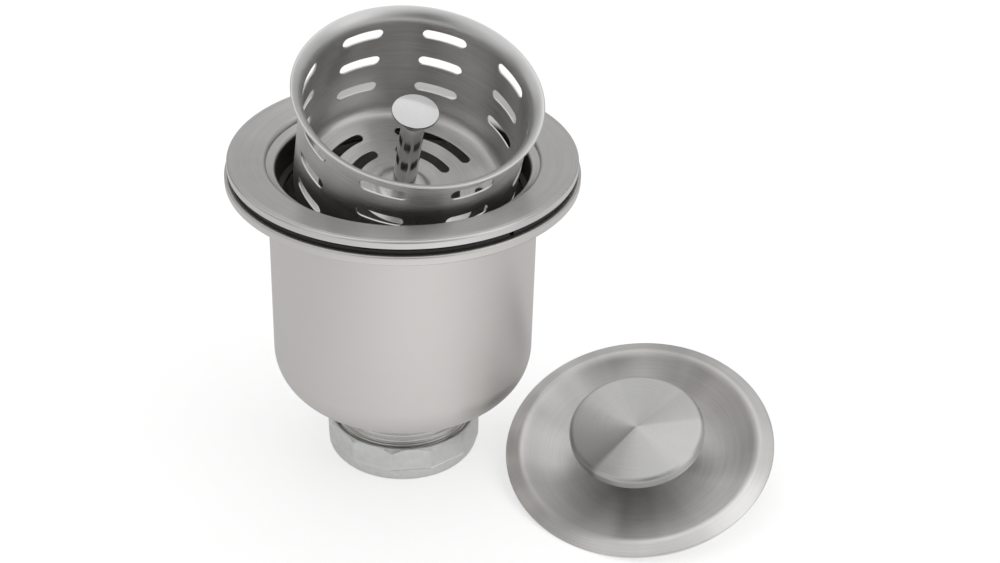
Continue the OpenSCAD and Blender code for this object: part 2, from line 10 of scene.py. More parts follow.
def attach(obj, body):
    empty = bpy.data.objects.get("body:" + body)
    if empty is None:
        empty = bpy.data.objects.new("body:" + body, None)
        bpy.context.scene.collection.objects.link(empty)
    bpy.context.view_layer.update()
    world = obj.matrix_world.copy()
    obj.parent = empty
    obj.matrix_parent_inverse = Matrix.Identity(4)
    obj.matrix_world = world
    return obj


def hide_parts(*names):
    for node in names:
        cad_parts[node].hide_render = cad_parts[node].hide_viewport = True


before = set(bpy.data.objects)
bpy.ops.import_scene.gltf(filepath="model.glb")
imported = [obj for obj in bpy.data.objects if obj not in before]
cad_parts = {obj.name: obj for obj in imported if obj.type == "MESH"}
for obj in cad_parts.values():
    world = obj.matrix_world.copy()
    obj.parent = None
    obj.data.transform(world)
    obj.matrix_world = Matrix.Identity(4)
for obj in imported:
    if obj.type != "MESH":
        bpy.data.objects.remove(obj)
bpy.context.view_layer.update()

MM = 0.001
TAU = 2 * math.pi

# Heights of the upright stack, in mm, as in the part's source
FACE_Z, SEAL_Z, GASKET_Z, CUP_TOP, CUP_BOTTOM, OUTLET_END = 114.4, 111.1, 109.8, 109.2, 22.2, 7.6


def rad(a):
    return math.radians(a)


def leaning(at, lean, direction, up=0.0):
    """The frame of a piece whose axis leans from upright in that direction, with its origin up along the axis."""
    turn = Matrix.Rotation(rad(direction), 4, "Z") @ Matrix.Rotation(rad(lean), 4, "Y")
    return Matrix.Translation(Vector(at) * MM) @ turn @ Matrix.Translation((0, 0, up * MM))


# Where the two loose pieces lie
B_H = 46.0
LID_R, LID_T, LID_LEAN, LID_TOWARDS = 45.85, 0.8, 17.0, -125.9
LID_UP = LID_R * math.sin(rad(LID_LEAN)) + LID_T * math.cos(rad(LID_LEAN))
UPRIGHT = Matrix.Identity(4)
IN_BASKET = leaning((-0.2, 6.7, FACE_Z - 17.6), 20.1, -71.2, B_H)
IN_LID = leaning((80.7, -24.2, LID_UP), LID_LEAN, LID_TOWARDS)


# Mesh helpers. A profile is a list of (radius, height) in mm.
def arc(cx, cz, r, a0, a1, n=8):
    angles = [rad(a0 + (a1 - a0) * i / n) for i in range(n + 1)]
    return [(cx + r * math.cos(a), cz + r * math.sin(a)) for a in angles]


def dense(points, step):
    """The same line with no stretch longer than step."""
    out = [points[0]]
    for a, b in zip(points, points[1:]):
        k = max(1, int(math.hypot(b[0] - a[0], b[1] - a[1]) / step))
        out += [(a[0] + (b[0] - a[0]) * i / k, a[1] + (b[1] - a[1]) * i / k) for i in range(1, k + 1)]
    return out


def around(value, near):
    """The same angle, within half a turn of another."""
    return value + TAU * round((near - value) / TAU)


# The map's name, the length of profile in mm that makes one step of u, and the steps of v round the axis
UV_NAME, UV_LENGTH, UV_TURNS = "along", 50, 4


def set_uv(mesh, along):
    """U runs along the profile and v round the axis, so that the tangent lies across the brushed lines."""
    layer = mesh.uv_layers.new(name=UV_NAME)
    for poly in mesh.polygons:
        known = [along[v][1] for v in poly.vertices if along[v][1] is not None]
        middle = sum(around(t, known[0]) for t in known) / len(known)
        for loop, v in zip(poly.loop_indices, poly.vertices):
            s, t = along[v]
            t = middle if t is None else around(t, middle)
            layer.data[loop].uv = (s / UV_LENGTH, t / TAU * UV_TURNS)


def make(name, verts, faces, along, at, sharp):
    """A mesh from points in mm in the piece's own frame; its object stays at the origin."""
    mesh = bpy.data.meshes.new(name)
    mesh.from_pydata([tuple(at @ (Vector(v) * MM)) for v in verts], [], faces)
    set_uv(mesh, along)
    bm = bmesh.new()
    bm.from_mesh(mesh)
    bmesh.ops.recalc_face_normals(bm, faces=bm.faces)
    bm.to_mesh(mesh)
    bm.free()
    mesh.polygons.foreach_set("use_smooth", [True] * len(mesh.polygons))
    mesh.set_sharp_from_angle(angle=rad(sharp))
    mesh.update()
    ob = bpy.data.objects.new(name, mesh)
    bpy.context.scene.collection.objects.link(ob)
    return ob


def is_pole(ring):
    """Whether a ring is a single point on the axis."""
    return np.isscalar(ring[0]) and abs(ring[0]) < 1e-6


def even_angles(n):
    return np.linspace(0, TAU, n, endpoint=False)


def loft(name, rings, at=UPRIGHT, sharp=32, angles=None, n=240):
    """Rings of points joined into a closed skin. A ring's radius and height are numbers, or one per angle."""
    th = even_angles(n) if angles is None else np.asarray(angles)
    n = len(th)
    verts, along, starts = [], [], []
    length, last = 0.0, None
    for ring in rings:
        here = (float(np.mean(ring[0])), float(np.mean(ring[1])))
        length += math.hypot(here[0] - last[0], here[1] - last[1]) if last else 0.0
        last = here
        starts.append(len(verts))
        if is_pole(ring):
            verts.append((0.0, 0.0, here[1]))
            along.append((length, None))
            continue
        r, z = np.broadcast_to(ring[0], (n,)), np.broadcast_to(ring[1], (n,))
        verts += list(zip((r * np.cos(th)).tolist(), (r * np.sin(th)).tolist(), z.tolist()))
        along += [(length, float(t)) for t in th]
    faces = []
    for a in range(len(rings)):
        b = (a + 1) % len(rings)
        if is_pole(rings[a]) and is_pole(rings[b]):
            continue
        for i in range(n):
            j = (i + 1) % n
            if is_pole(rings[a]):
                faces.append((starts[a], starts[b] + j, starts[b] + i))
            elif is_pole(rings[b]):
                faces.append((starts[a] + i, starts[a] + j, starts[b]))
            else:
                faces.append((starts[a] + i, starts[a] + j, starts[b] + j, starts[b] + i))
    return make(name, verts, faces, along, at, sharp)


# Node helpers. A value is a plain number or another node's output.
def new_material(name):
    m = bpy.data.materials.new(name)
    m.use_nodes = True
    tree = m.node_tree
    tree.nodes.clear()
    out = tree.nodes.new("ShaderNodeOutputMaterial")
    bsdf = tree.nodes.new("ShaderNodeBsdfPrincipled")
    tree.links.new(bsdf.outputs["BSDF"], out.inputs["Surface"])
    return m, tree, bsdf


def put(tree, socket, value):
    if hasattr(value, "is_output"):
        tree.links.new(value, socket)
    else:
        socket.default_value = value


def calc(tree, operation, *values):
    node = tree.nodes.new("ShaderNodeMath")
    node.operation = operation
    for socket, value in zip(node.inputs, values):
        put(tree, socket, value)
    return node.outputs[0]


def noise(tree, vector, scale, detail=2.0, roughness=0.5):
    node = tree.nodes.new("ShaderNodeTexNoise")
    node.inputs["Scale"].default_value = scale
    node.inputs["Detail"].default_value = detail
    node.inputs["Roughness"].default_value = roughness
    tree.links.new(vector, node.inputs["Vector"])
    return node.outputs["Fac"]


def span(tree, value, low, high, to_low, to_high, kind="LINEAR"):
    node = tree.nodes.new("ShaderNodeMapRange")
    node.interpolation_type = kind
    for key, v in zip(("Value", "From Min", "From Max", "To Min", "To Max"), (value, low, high, to_low, to_high)):
        put(tree, node.inputs[key], v)
    return node.outputs["Result"]


def combine(tree, x, y, z):
    node = tree.nodes.new("ShaderNodeCombineXYZ")
    for socket, value in zip(node.inputs, (x, y, z)):
        put(tree, socket, value)
    return node.outputs[0]


def mix_color(tree, factor, a, b, blend="MIX"):
    node = tree.nodes.new("ShaderNodeMix")
    node.data_type = "RGBA"
    node.blend_type = blend
    for socket, value in zip((node.inputs[0], node.inputs[6], node.inputs[7]), (factor, a, b)):
        put(tree, socket, value)
    return node.outputs[2]


def bump(tree, bsdf, height, strength, distance):
    node = tree.nodes.new("ShaderNodeBump")
    node.inputs["Strength"].default_value = strength
    node.inputs["Distance"].default_value = distance
    tree.links.new(height, node.inputs["Height"])
    tree.links.new(node.outputs[0], bsdf.inputs["Normal"])


def shade(color, factor):
    return tuple(c * factor for c in color) + (1.0,)


def own_frame(tree, at):
    """Coordinates in the piece's own frame, with its axis as z."""
    coord = tree.nodes.new("ShaderNodeTexCoord")
    mapping = tree.nodes.new("ShaderNodeMapping")
    mapping.vector_type = "TEXTURE"
    mapping.inputs["Location"].default_value = at.to_translation()
    mapping.inputs["Rotation"].default_value = at.to_euler()
    tree.links.new(coord.outputs["Object"], mapping.inputs["Vector"])
    return mapping.outputs[0]


# The range that a noise mostly keeps to
NOISE_LOW, NOISE_HIGH = 0.3, 0.7
# Brushed metal: how the height along the axis adds to the radius, so that lines run round walls and faces alike,
# the size of the broad streaks beside the fine ones, and the relief of a line in metres
HEIGHT_SHARE, BROAD_LENGTH, BROAD_PITCH, LINE_RELIEF = 1.37, 0.5, 0.12, 0.00001


def blend(tree, a, b, share):
    """The two values, the second with that share."""
    return calc(tree, "ADD", calc(tree, "MULTIPLY", a, 1 - share), calc(tree, "MULTIPLY", b, share))


def from_noise(tree, value, low, high):
    return span(tree, value, NOISE_LOW, NOISE_HIGH, low, high)


def two_tones(tree, value, color, spread):
    """The colour, darker where the noise is low and lighter where it is high."""
    return mix_color(tree, from_noise(tree, value, 0.0, 1.0), shade(color, 1 - spread), shade(color, 1 + spread))


def times(tree, color, tone):
    """The colour, lighter or darker by a tone."""
    return mix_color(tree, 1.0, color, combine(tree, tone, tone, tone), "MULTIPLY")


def sector_tone(tree, cx, cy, amount):
    """Lighter and darker sectors round the axis, some broad and some narrow."""
    broad = noise(tree, combine(tree, cx, cy, 0.0), 1.3, 0.0)
    narrow = noise(tree, combine(tree, cx, cy, 5.0), 5.0, 2.0)
    return from_noise(tree, blend(tree, broad, narrow, 0.4), 1 - amount, 1 + amount)


def painted_sheen_fans(tree, cx, cy, sheen_fans, softness):
    """Painted highlight and painted shade: sectors of reflected light with one soft edge, as brushed metal shows
    them. Each is (angle of the edge, angle over which it fades clockwise, tone at the edge)."""
    turn = calc(tree, "ARCTAN2", cy, cx)
    product = 1.0
    for edge, width, tone in sheen_fans:
        gone = calc(tree, "FLOORED_MODULO", calc(tree, "SUBTRACT", rad(edge), turn), TAU)
        soft = span(tree, gone, 0.0, softness, 0.0, 1.0, "SMOOTHSTEP")
        fade = span(tree, gone, softness, rad(width), tone - 1, 0.0)
        product = calc(tree, "MULTIPLY", product, calc(tree, "MULTIPLY_ADD", soft, fade, 1.0))
    return product


def turned_metal(name, color, rough, aniso, at=UPRIGHT, *, lines, spread, streak=2.0, depth=0.3,
                 rough_spread=0.04, sectors=0.0, sheen_fans=(), sheen_edge=0.3):
    """Metal with fine lines that run round the piece's own axis, as turning and brushing leave them."""
    m, tree, bsdf = new_material(name)
    place = own_frame(tree, at)
    split = tree.nodes.new("ShaderNodeSeparateXYZ")
    tree.links.new(place, split.inputs[0])
    x, y, z = split.outputs
    squares = calc(tree, "ADD", calc(tree, "MULTIPLY", x, x), calc(tree, "MULTIPLY", y, y))
    r = calc(tree, "MAXIMUM", calc(tree, "SQRT", squares), 1e-5)
    cx, cy = calc(tree, "DIVIDE", x, r), calc(tree, "DIVIDE", y, r)
    across = calc(tree, "ADD", r, calc(tree, "MULTIPLY", z, HEIGHT_SHARE))

    def streaks(length, pitch, detail):
        where = combine(tree, calc(tree, "MULTIPLY", cx, length), calc(tree, "MULTIPLY", cy, length),
                        calc(tree, "MULTIPLY", across, pitch))
        return noise(tree, where, 1.0, detail, 0.6)

    fine = streaks(streak, lines, 3.0)
    both = blend(tree, fine, streaks(streak * BROAD_LENGTH, lines * BROAD_PITCH, 2.0), 0.35)
    tone = blend(tree, both, noise(tree, place, 60.0), 0.2)
    tinted = two_tones(tree, tone, color, spread)
    if sectors:
        tinted = times(tree, tinted, sector_tone(tree, cx, cy, sectors))
    # Painted highlight and shade: light and dark sectors of reflected light
    if sheen_fans:
        tinted = times(tree, tinted, painted_sheen_fans(tree, cx, cy, sheen_fans, sheen_edge))
    tree.links.new(tinted, bsdf.inputs["Base Color"])
    tree.links.new(from_noise(tree, both, rough - rough_spread, rough + rough_spread), bsdf.inputs["Roughness"])
    bsdf.inputs["Metallic"].default_value = 1.0
    tangent = tree.nodes.new("ShaderNodeTangent")
    tangent.direction_type = "UV_MAP"
    tangent.uv_map = UV_NAME
    tree.links.new(tangent.outputs[0], bsdf.inputs["Tangent"])
    bsdf.inputs["Anisotropic"].default_value = aniso
    bump(tree, bsdf, fine, depth, LINE_RELIEF)
    return m


# Where an edge shows as worn, by the mesh's pointiness, and its colour there
WORN_FROM, WORN_FULL, WORN_COLOR = 0.51, 0.56, (0.95, 0.95, 0.94)


def grained(name, color, rough, metallic=0.0, grain=700.0, depth=0.4, spread=0.12, worn=0.0, relief=0.00004):
    """Cast or polished metal, rubber, fibre or plastic: fine grain, slight clouding and brighter worn edges."""
    m, tree, bsdf = new_material(name)
    coord = tree.nodes.new("ShaderNodeTexCoord")
    grainy = noise(tree, coord.outputs["Object"], grain, 4.0, 0.6)
    cloud = noise(tree, coord.outputs["Object"], 110.0, 3.0)
    mixed = blend(tree, grainy, cloud, 0.5)
    tinted = two_tones(tree, mixed, color, spread)
    if worn:
        geometry = tree.nodes.new("ShaderNodeNewGeometry")
        edges = span(tree, geometry.outputs["Pointiness"], WORN_FROM, WORN_FULL, 0.0, worn)
        tinted = mix_color(tree, edges, tinted, shade(WORN_COLOR, 1))
    tree.links.new(tinted, bsdf.inputs["Base Color"])
    tree.links.new(from_noise(tree, mixed, rough * 0.85, rough * 1.15), bsdf.inputs["Roughness"])
    bsdf.inputs["Metallic"].default_value = metallic
    bump(tree, bsdf, grainy, depth, relief)
    return m


# The painted highlight and shade sectors of the lid and of its knob, by their angles in the common frame
LID_PAINTED_SHEEN = ((-160, 60, 1.32), (-112, 50, 0.83), (124, 30, 0.87), (82, 70, 0.82), (-20, 120, 1.3))
KNOB_PAINTED_SHEEN = ((-131, 95, 0.56), (4, 134, 1.14), (40, 40, 0.93))


def on_lid(sheen_fans):
    """The same sectors, by their angles in the lid's own frame."""
    return [(edge - LID_TOWARDS, width, tone) for edge, width, tone in sheen_fans]


FLANGE = turned_metal("flange_brushed", (0.79, 0.776, 0.77), 0.31, 0.75, lines=2600, spread=0.09, sectors=0.05)
# The neck's inside: a duller finish, and a near-black colour that is painted shade in the recess
NECK_SHADE = turned_metal("neck_painted_shade", (0.165, 0.16, 0.155), 0.45, 0.3, lines=4000, spread=0.08)
CUP = turned_metal("cup_satin", (0.80, 0.778, 0.76), 0.43, 0.2, lines=2600, streak=1.2, depth=0.08, spread=0.015,
                   rough_spread=0.02)
BASKET = turned_metal("basket_brushed", (0.715, 0.705, 0.70), 0.30, 0.75, IN_BASKET, lines=2300, depth=0.5,
                      spread=0.2, sectors=0.04)
RIM = turned_metal("basket_rim_satin", (0.82, 0.815, 0.81), 0.36, 0.3, IN_BASKET, lines=4600, depth=0.2,
                   spread=0.04)
LID = turned_metal("lid_brushed", (0.75, 0.74, 0.73), 0.36, 0.9, IN_LID, lines=2600, streak=1.4, spread=0.12,
                   sectors=0.1, sheen_fans=on_lid(LID_PAINTED_SHEEN), sheen_edge=0.35)
# The knob is the lid's steel set darker: its lower tone is painted shade
KNOB = turned_metal("lid_knob_brushed", (0.60, 0.595, 0.59), 0.32, 0.9, IN_LID, lines=2600, streak=1.4,
                    spread=0.07, sectors=0.04, sheen_fans=on_lid(KNOB_PAINTED_SHEEN), sheen_edge=0.14)
CHROME = grained("bright_steel", (0.66, 0.66, 0.66), 0.10, 1.0, grain=900, depth=0.05, spread=0.03)
POST = grained("post_steel", (0.49, 0.485, 0.48), 0.09, 1.0, grain=900, depth=0.05, spread=0.03)
THREAD = grained("threaded_steel", (0.75, 0.745, 0.73), 0.15, 1.0, grain=900, depth=0.1, spread=0.04)
ZINC = grained("cast_zinc", (0.88, 0.89, 0.875), 0.30, 1.0, grain=420, depth=0.8, spread=0.09, worn=0.6,
               relief=0.00016)
BLACK = grained("black_rubber", (0.022, 0.022, 0.021), 0.5)
GREY = grained("grey_rubber", (0.06, 0.06, 0.06), 0.6)
FIBRE = grained("dark_fibre", (0.045, 0.04, 0.035), 0.8, depth=0.7)
PLASTIC = grained("white_plastic", (0.78, 0.78, 0.75), 0.4, depth=0.1, spread=0.03)


def dress(ob, body, materials, slot, *nodes):
    """The piece's materials, the body it rides on, and the CAD nodes it stands for."""
    for material in materials:
        ob.data.materials.append(material)
    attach(ob, body)
    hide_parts(*nodes)


def paint(node, material):
    """A CAD node keeps its shape and gets a material."""
    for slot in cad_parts[node].material_slots:
        slot.material = material


def smooth01(t):
    t = np.clip(t, 0, 1)
    return t * t * (3 - 2 * t)


# Sink flange
FLANGE_R, FLANGE_EDGE_H, SHEET_T = 57.15, 2.5, 0.9
FACE_IN_R, FACE_DROP, CREASE_R, CREASE_DROP = 46.3, 0.9, 44.5, 2.8
NECK_R, NECK_LEN, NECK_LIP_R, NECK_ROOT_R, NECK_CREST_R, NECK_PITCH = 41.6, 15.0, 39.4, 42.32, 42.72, 2.0
LEDGE_R, LEDGE_DROP, LEDGE_LOW = 42.8, 3.6, 5.0
# The rounding of its edge, and a fine turned line near the edge
FLANGE_ROUND, LINE_R, LINE_W, LINE_D = 0.75, 55.95, 0.1, 0.06


def neck_grooves(top, low):
    out = []
    for i in range(int((top - low) / NECK_PITCH)):
        z = top - i * NECK_PITCH
        out += [(NECK_CREST_R, z), (NECK_ROOT_R, z - 0.3 * NECK_PITCH)]
        out += [(NECK_ROOT_R, z - 0.5 * NECK_PITCH), (NECK_CREST_R, z - 0.8 * NECK_PITCH)]
    return out


def flange_profile():
    z, edge = FACE_Z, FLANGE_ROUND
    edge_in = FLANGE_R - edge

    def face(r, drop=0.0):
        return r, z - drop - FACE_DROP * (edge_in - r) / (edge_in - FACE_IN_R)

    out = [(FLANGE_R, z - FLANGE_EDGE_H)]
    out += dense([(FLANGE_R, z - FLANGE_EDGE_H + 0.1), (FLANGE_R, z - edge)], 0.4)[:-1]
    out += arc(edge_in, z - edge, edge, 0, 88, 10)
    line = [face(LINE_R + LINE_W), face(LINE_R, LINE_D), face(LINE_R - LINE_W)]
    out += dense([face(edge_in - 0.1)] + line + [face(FACE_IN_R + 0.8)], 0.6)
    out += [face(FACE_IN_R + 0.4, 0.01)]
    for a in np.radians(np.linspace(0, 90, 15)):
        out.append((FACE_IN_R - (FACE_IN_R - CREASE_R) * math.sin(a),
                    z - FACE_DROP - (CREASE_DROP - FACE_DROP) * (1 - math.cos(a))))
    out += [(CREASE_R - 0.05, z - CREASE_DROP - 0.05)]
    out += dense([(CREASE_R - 0.2, z - CREASE_DROP - 0.1), (LEDGE_R, z - LEDGE_DROP)], 0.4)
    for a in np.radians(np.linspace(6, 90, 12)):
        out.append((LEDGE_R - (LEDGE_R - NECK_R) * math.sin(a),
                    z - LEDGE_DROP - (LEDGE_LOW - LEDGE_DROP) * (1 - math.cos(a))))
    out += dense([(NECK_R, z - LEDGE_LOW - 0.2), (NECK_R, z - NECK_LEN + 1.5)], 1.5)
    out += arc(NECK_R - 0.35, z - NECK_LEN + 1.45, 0.35, 0, -90, 4)
    low = z - NECK_LEN
    out += [(NECK_LIP_R + 0.15, low + 1.1), (NECK_LIP_R, low + 0.95), (NECK_LIP_R, low)]
    out += [(NECK_ROOT_R, low)] + neck_grooves(z - LEDGE_LOW - SHEET_T, low)[::-1]
    out += [(LEDGE_R + SHEET_T, z - LEDGE_DROP - SHEET_T), (CREASE_R + SHEET_T, z - CREASE_DROP - SHEET_T)]
    out += [(CREASE_R + SHEET_T, z - CREASE_DROP), (FACE_IN_R + SHEET_T / 2, z - FACE_DROP - SHEET_T)]
    return out + [(FLANGE_R - SHEET_T, z - SHEET_T), (FLANGE_R - SHEET_T, z - FLANGE_EDGE_H)]


# Grey seal under the flange, and the black gasket with a small notch in its rim
SEAL_OUT, SEAL_IN, SEAL_CLEAR = 55.95, 46.9, 0.3
GASKET_R, GASKET_IN, GASKET_T, GASKET_ROUND = 56.4, 46.0, 1.3, 0.3
NOTCH_AT, NOTCH_HALF, NOTCH_DEPTH = -54.2, 0.68, 1.2


def seal_profile():
    slope = FACE_DROP / (FLANGE_R - FACE_IN_R)

    def top(r):
        return r, FACE_Z - SHEET_T - SEAL_CLEAR - slope * (FLANGE_R - r)

    return [(SEAL_IN, SEAL_Z), (SEAL_OUT - 0.15, SEAL_Z), (SEAL_OUT, SEAL_Z + 0.15), top(SEAL_OUT), top(SEAL_IN)]


def gasket_rings():
    """The rings and their angles, which are closer at the notch."""
    even = np.linspace(-180, 180, 240, endpoint=False)
    at_notch = [NOTCH_AT + k * NOTCH_HALF for k in (-1.18, -1, -0.5, 0, 0.5, 1, 1.18)]
    angles = np.array(sorted([t for t in even if abs(t - NOTCH_AT) > NOTCH_HALF + 0.3] + at_notch))
    cut = np.where(np.abs(angles - NOTCH_AT) <= NOTCH_HALF + 0.01, NOTCH_DEPTH, 0.0)
    z, r = GASKET_Z, GASKET_R - GASKET_ROUND
    rim = arc(r, z + GASKET_ROUND, GASKET_ROUND, -90, 0, 4)
    rim += arc(r, z + GASKET_T - GASKET_ROUND, GASKET_ROUND, 0, 90, 4)
    rings = [(GASKET_IN, z), (GASKET_R - 1.6, z)] + [(p[0] - cut, p[1]) for p in rim]
    return rings + [(GASKET_R - 1.6, z + GASKET_T), (GASKET_IN, z + GASKET_T)], np.radians(angles)


# Cup, with its flange and rolled edge in one skin
CUP_R, CUP_T, CUP_FLANGE_R, CUP_EDGE_H = 44.4, 0.8, 58.05, 3.2
BEND, BEND_ANGLE, FLAT_R, HOLE_R, BEAD_IN, SHOULDER, MOUTH_ROUND = 15.0, 60.0, 25.8, 21.6, 56.7, 1.8, 1.5


def cup_profile():
    top, low = CUP_TOP, CUP_TOP + 0.4 - CUP_EDGE_H
    slope_r = CUP_R - BEND + BEND * math.cos(rad(BEND_ANGLE))
    mid_z = CUP_BOTTOM + (slope_r - FLAT_R) / math.tan(rad(BEND_ANGLE)) + BEND * math.sin(rad(BEND_ANGLE))
    flat_in = FLAT_R - CUP_T * math.tan(rad((90 - BEND_ANGLE) / 2))
    out = dense([(HOLE_R, CUP_BOTTOM + CUP_T), (flat_in, CUP_BOTTOM + CUP_T)]
                + arc(CUP_R - BEND, mid_z, BEND - CUP_T, 0, -BEND_ANGLE, 28)[::-1], 2.0)
    out += dense([out[-1], (CUP_R - CUP_T, top - MOUTH_ROUND)], 4.0)[1:-1]
    out += arc(CUP_R - CUP_T + MOUTH_ROUND, top - MOUTH_ROUND, MOUTH_ROUND, 180, 90, 8)
    out += [(BEAD_IN, top), (BEAD_IN, top + 0.2)] + arc(BEAD_IN + 0.2, top + 0.2, 0.2, 180, 90, 3)
    out += arc(CUP_FLANGE_R - 0.7, top - 0.3, 0.7, 90, 0, 8) + arc(CUP_FLANGE_R - 0.7, low + 0.7, 0.7, 0, -90, 8)
    out += [(BEAD_IN + CUP_T, low), (BEAD_IN + 0.4, low + 0.3), (BEAD_IN + 0.4, top - CUP_T)]
    out += dense([out[-1], (CUP_R + SHOULDER, top - CUP_T)], 3.0)[1:-1]
    out += arc(CUP_R + SHOULDER, top - CUP_T - SHOULDER, SHOULDER, 90, 180, 10)
    out += dense([out[-1], (CUP_R, mid_z)], 4.0)[1:-1]
    out += arc(CUP_R - BEND, mid_z, BEND, 0, -BEND_ANGLE, 30)
    out += dense([out[-1], (FLAT_R + 0.25, CUP_BOTTOM + 0.14)], 1.5)[1:]
    return out + [(FLAT_R, CUP_BOTTOM + 0.04), (FLAT_R - 0.3, CUP_BOTTOM), (HOLE_R, CUP_BOTTOM)]


# Outlet and slip nut, with their true right-hand screw thread
PITCH, THREAD_R, THREAD_D, OUTLET_IN, COLLAR_H, CREST_Z = 2.209, 24.0, 0.9, 20.3, 3.0, 15.3
# Share of the pitch from a crest's middle to its edge, and then down its flank; rings along the threads
CREST_HALF, FLANK, OUTLET_STEP, NUT_STEP = 0.15, 0.27, 0.11, 0.15


def thread_depth(z, theta, crest_z):
    """0 on the thread's crest and 1 at its root, with a crest at crest_z at the front."""
    p = ((z - crest_z) / PITCH - (theta + math.pi / 2) / TAU) % 1.0
    return smooth01((np.minimum(p, 1 - p) - CREST_HALF) / FLANK)


def outlet_rings(theta):
    thread_top = CUP_BOTTOM - COLLAR_H
    rings = [(OUTLET_IN, OUTLET_END), (OUTLET_IN, CUP_BOTTOM), (THREAD_R + 0.2, CUP_BOTTOM)]
    rings += [(THREAD_R + 0.2, thread_top + 0.3)] + arc(THREAD_R - 0.1, thread_top + 0.3, 0.3, 0, -90, 4)
    for z in np.arange(thread_top - OUTLET_STEP, OUTLET_END + 0.3, -OUTLET_STEP):
        fade = smooth01((thread_top - z) / 0.6) * smooth01((z - OUTLET_END) / 0.5)
        end_round = 0.35 * (1 - smooth01((z - OUTLET_END) / 0.6))
        rings.append((THREAD_R - THREAD_D * thread_depth(z, theta, CREST_Z) * fade - end_round, float(z)))
    return rings


NUT_R, NUT_H, NUT_FOOT_R, NUT_TAPER_H, NUT_SIDES, NUT_PHASE = 27.2, 13.4, 25.8, 4.8, 12, 21.0
NUT_TILT = (1.1, -1.5, 0.7, -0.9, 1.5, -1.2, 0.6, -0.8, 1.3, -1.5, 1.0, -0.7)
NUT_BORE, NUT_LIP_R, NUT_LIP_T, NUT_CHAMBER_Z = 24.06, 19.35, 2.5, 5.9
# Waves round the upper edge, as (count, height, phase), and the parting line's depth and width
NUT_WAVES = ((3, 0.13, 0.7), (7, 0.11, 2.1), (13, 0.07, 0.3), (29, 0.05, 1.1), (47, 0.03, 2.6))
NUT_LINE_D, NUT_LINE_W = 0.16, 0.09
# How far the flats lie in, and the sloping cap: how far in it starts, how much it wavers, its height and slope
FLATS_IN, CAP_IN, CAP_WAVER, CAP_H, CAP_SLOPE = 0.12, 0.15, 1.3, 1.35, 0.6


def soft_min(a, b, k):
    """The lesser of two values, run together where they differ by less than k."""
    h = np.clip(0.5 + 0.5 * (b - a) / k, 0, 1)
    return b * (1 - h) + a * h - k * h * (1 - h)


def nut_rings(theta):
    """Twelve flats that run into a taper and a round foot, with a casting's parting line and wavering edge."""
    side = np.degrees(theta) - NUT_PHASE
    part = side % (360 / NUT_SIDES)
    tilt = np.tan(np.radians(np.take(NUT_TILT, (side // (360 / NUT_SIDES)).astype(int) % NUT_SIDES)))
    waver = sum(k * np.sin(m * theta + p) for m, k, p in NUT_WAVES)
    heights = np.concatenate([np.arange(1.1, NUT_TAPER_H - 0.4, 0.3), np.arange(NUT_TAPER_H - 0.4, 5.2, 0.05),
                              np.arange(5.2, NUT_H - 2.2, 0.3), np.linspace(NUT_H - 2.2, NUT_H - 0.12, 20)])
    rings = [(NUT_LIP_R, 0.0), (NUT_FOOT_R - 0.9, 0.0)] + arc(NUT_FOOT_R - 0.9, 0.9, 0.9, -70, -8, 5)
    for h in heights:
        flats = NUT_R * math.cos(math.pi / NUT_SIDES) / np.cos(np.radians(part) - math.pi / NUT_SIDES)
        flats = flats - FLATS_IN + tilt * (h - 0.5 * NUT_H)
        taper = NUT_FOOT_R + (NUT_R + 0.02 - NUT_FOOT_R) * (h / NUT_TAPER_H)
        cap = NUT_R - CAP_IN - np.maximum(0, h + waver * CAP_WAVER - (NUT_H - CAP_H)) * CAP_SLOPE
        line = NUT_LINE_D * math.exp(-((h - NUT_TAPER_H) / NUT_LINE_W) ** 2)
        rings.append((soft_min(soft_min(np.minimum(flats, NUT_R), taper, 0.08), cap, 0.12) - line, float(h)))
    rings += [(rings[-1][0] - 0.2, NUT_H), (25.6, NUT_H), (25.4, NUT_H - 0.2), (NUT_BORE + 0.5, NUT_H - 0.95)]
    mouth = NUT_H - 1.3
    for z in np.arange(mouth, NUT_CHAMBER_Z + 0.1, -NUT_STEP):
        fade = smooth01((mouth - z) / 0.5) * smooth01((z - NUT_CHAMBER_Z) / 0.5)
        groove = THREAD_D * (1 - thread_depth(z, theta, CREST_Z + PITCH / 2)) * fade
        rings.append((NUT_BORE + groove, float(z)))
    chamber_r = NUT_BORE + THREAD_D
    return rings + [(chamber_r, NUT_CHAMBER_Z - 0.05), (chamber_r, NUT_LIP_T), (NUT_LIP_R, NUT_LIP_T)]


# Basket: one slotted sheet, drawn flat as angle and arc length from the axis, then bent into shape
B_RIM_R, B_R, B_T, B_BEND = 40.25, 36.8, 0.7, 5.2
SLOT_L, SLOT_W, SLOT_FIRST, SLOT_STEP, SLOT_TURN, SLOT_ROWS, SLOT_COLUMNS = 15.4, 3.8, 8.5, 12.1, 11.2, 3, 8
FLOOR_RINGS, FLOOR_W, FLOOR_SPAN, FLOOR_TURN = (17.4, 26.2), 3.6, 56.0, 18.5
BOSS_H, SCREW_HOLE = 1.1, 2.2
# The flare of its rim: an arc on the sheet's inside face, with this radius, middle and lowest height
FLARE_ANGLE = rad(75)
FLARE = (B_RIM_R - B_R) / (1 - math.cos(FLARE_ANGLE)) + B_T
FLARE_MID, FLARE_Z = B_R - B_T + FLARE, -FLARE * math.sin(FLARE_ANGLE)
# Arc lengths from the axis where the flat sheet starts, and where floor, bend and wall end
S_START = 10.6
S_FLOOR = B_R - B_BEND
S_BEND = S_FLOOR + (B_BEND - B_T) * math.pi / 2
S_WALL = S_BEND + (B_H - B_BEND) + FLARE_Z
# The slots' bevel: its width, and its depth as a share of that; steps round a slot's end and along a floor slot
BEVEL, BEVEL_SLANT = 0.16, 0.8
SLOT_END_STEPS, FLOOR_SLOT_STEPS = 14, 24
